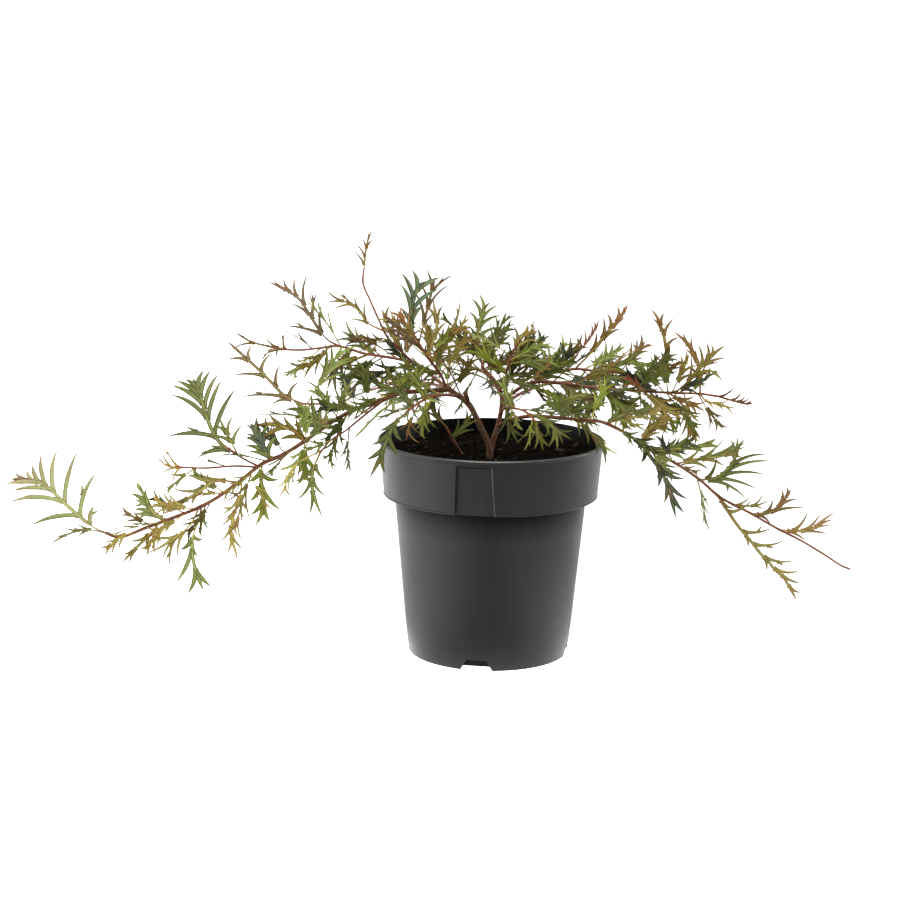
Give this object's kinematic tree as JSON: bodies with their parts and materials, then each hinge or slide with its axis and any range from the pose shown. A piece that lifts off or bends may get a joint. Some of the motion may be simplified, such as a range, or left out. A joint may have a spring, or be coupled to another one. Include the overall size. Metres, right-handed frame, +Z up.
{
  "type": "potted bronze rambler grevillea",
  "caption": "Spreading shrub with deeply cut green leaves and bronze young growth, its stems arching over the rim of a round dark grey nursery pot.",
  "frame": {"origin": "centre of the pot's foot, on the ground", "axes": "+Z up along the pot's axis, +X along the plant's longest spread, to the right as seen from the front, -Y towards the front, where the pot's label panel is"},
  "size_m": [0.7107, 0.3126, 0.37],
  "materials": {
    "pot_plastic": "satin, dark grey moulded plastic",
    "potting_mix": "rough, dark composted bark with paler chips",
    "bark_stem": "matt red-brown bark",
    "foliage": "satin green leaf with bronze, red and yellow-green young growth"
  },
  "bodies": {
    "root": {"pot": "pot_plastic", "soil": "potting_mix", "woody_stems": "bark_stem", "thin_stem": "foliage", "left_low_spray": "foliage", "left_upper_spray": "foliage", "tall_shoot": "foliage", "crown_left": "foliage", "crown_middle": "foliage", "crown_right": "foliage", "front_shoot": "foliage", "right_upper_spray": "foliage", "right_middle_spray": "foliage", "right_low_spray": "foliage", "back_left_spray": "foliage", "back_right_spray": "foliage", "back_middle_spray": "foliage", "front_left_spray": "foliage"}
  },
  "joints": []
}
